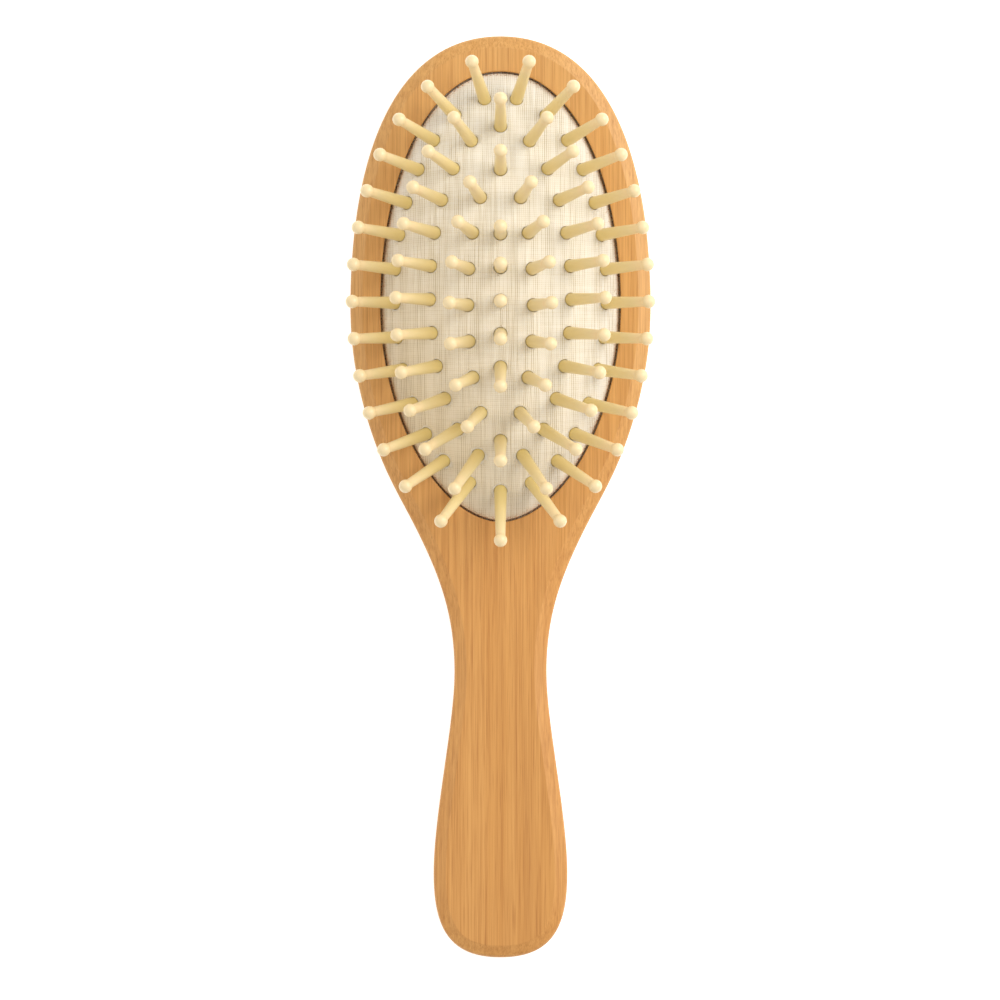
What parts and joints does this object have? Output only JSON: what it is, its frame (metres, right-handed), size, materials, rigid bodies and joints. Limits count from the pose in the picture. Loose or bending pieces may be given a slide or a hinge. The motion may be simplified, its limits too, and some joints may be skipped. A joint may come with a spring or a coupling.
{
  "type": "paddle brush",
  "caption": "Oval wooden cushion hairbrush: ball-tipped wooden pins fan out of an air-filled linen pad that gives when pressed.",
  "frame": {"origin": "centre of the brush's flat back, on the surface it lies on", "axes": "+Y from the handle to the head, +Z out of the pins' face, +X across"},
  "size_m": [0.0764, 0.23, 0.0443],
  "materials": {
    "beech": "oiled",
    "cane": "raw",
    "linen": "ribbed weave",
    "rubber": "matte",
    "birch": "turned, raw"
  },
  "bodies": {
    "brush_body": {"wooden_body": "beech", "clamp_ring": "cane", "linen_cover": "linen", "rubber_diaphragm": "rubber"},
    "crown_pins": {"pin_crown_1": "birch", "pin_crown_2": "birch", "pin_crown_3": "birch", "pin_crown_4": "birch", "pin_crown_5": "birch", "pin_inner_04": "birch", "pin_inner_05": "birch", "pin_inner_06": "birch", "pin_inner_12": "birch", "pin_inner_13": "birch", "pin_inner_14": "birch"},
    "upper_pins": {"pin_inner_02": "birch", "pin_inner_03": "birch", "pin_inner_07": "birch", "pin_inner_08": "birch", "pin_inner_10": "birch", "pin_inner_11": "birch", "pin_inner_15": "birch", "pin_inner_16": "birch"},
    "flank_pins": {"pin_inner_01": "birch", "pin_inner_09": "birch", "pin_middle_04": "birch", "pin_middle_05": "birch", "pin_middle_06": "birch", "pin_middle_07": "birch", "pin_middle_08": "birch", "pin_middle_09": "birch", "pin_middle_10": "birch", "pin_middle_15": "birch", "pin_middle_16": "birch", "pin_middle_17": "birch", "pin_middle_18": "birch", "pin_middle_19": "birch", "pin_middle_20": "birch", "pin_middle_21": "birch"},
    "lower_pins": {"pin_middle_01": "birch", "pin_middle_02": "birch", "pin_middle_03": "birch", "pin_middle_11": "birch", "pin_middle_12": "birch", "pin_middle_13": "birch", "pin_middle_14": "birch", "pin_middle_22": "birch", "pin_middle_23": "birch"},
    "rim_pins": {"pins_outer_01": "birch", "pins_outer_02": "birch", "pins_outer_03": "birch", "pins_outer_04": "birch", "pins_outer_05": "birch", "pins_outer_06": "birch", "pins_outer_07": "birch", "pins_outer_08": "birch", "pins_outer_09": "birch", "pins_outer_10": "birch"}
  },
  "joints": [
    {"name": "cushion_press", "type": "slide", "parent": "brush_body", "child": "crown_pins", "axis": [0, 0, -1], "range_m": [0, 0.004], "stiffness_N_per_m": 2500, "deforming": ["linen_cover", "rubber_diaphragm"]},
    {"name": "upper_press", "type": "slide", "parent": "brush_body", "child": "upper_pins", "axis": [0, 0, -1], "range_m": [0, 0.004]},
    {"name": "flank_press", "type": "slide", "parent": "brush_body", "child": "flank_pins", "axis": [0, 0, -1], "range_m": [0, 0.004]},
    {"name": "lower_press", "type": "slide", "parent": "brush_body", "child": "lower_pins", "axis": [0, 0, -1], "range_m": [0, 0.004]},
    {"name": "rim_press", "type": "slide", "parent": "brush_body", "child": "rim_pins", "axis": [0, 0, -1], "range_m": [0, 0.004]}
  ],
  "couplings": [
    {"joint": "upper_press", "follows": "cushion_press", "ratio": 0.85},
    {"joint": "flank_press", "follows": "cushion_press", "ratio": 0.68},
    {"joint": "lower_press", "follows": "cushion_press", "ratio": 0.54},
    {"joint": "rim_press", "follows": "cushion_press", "ratio": 0.24}
  ]
}
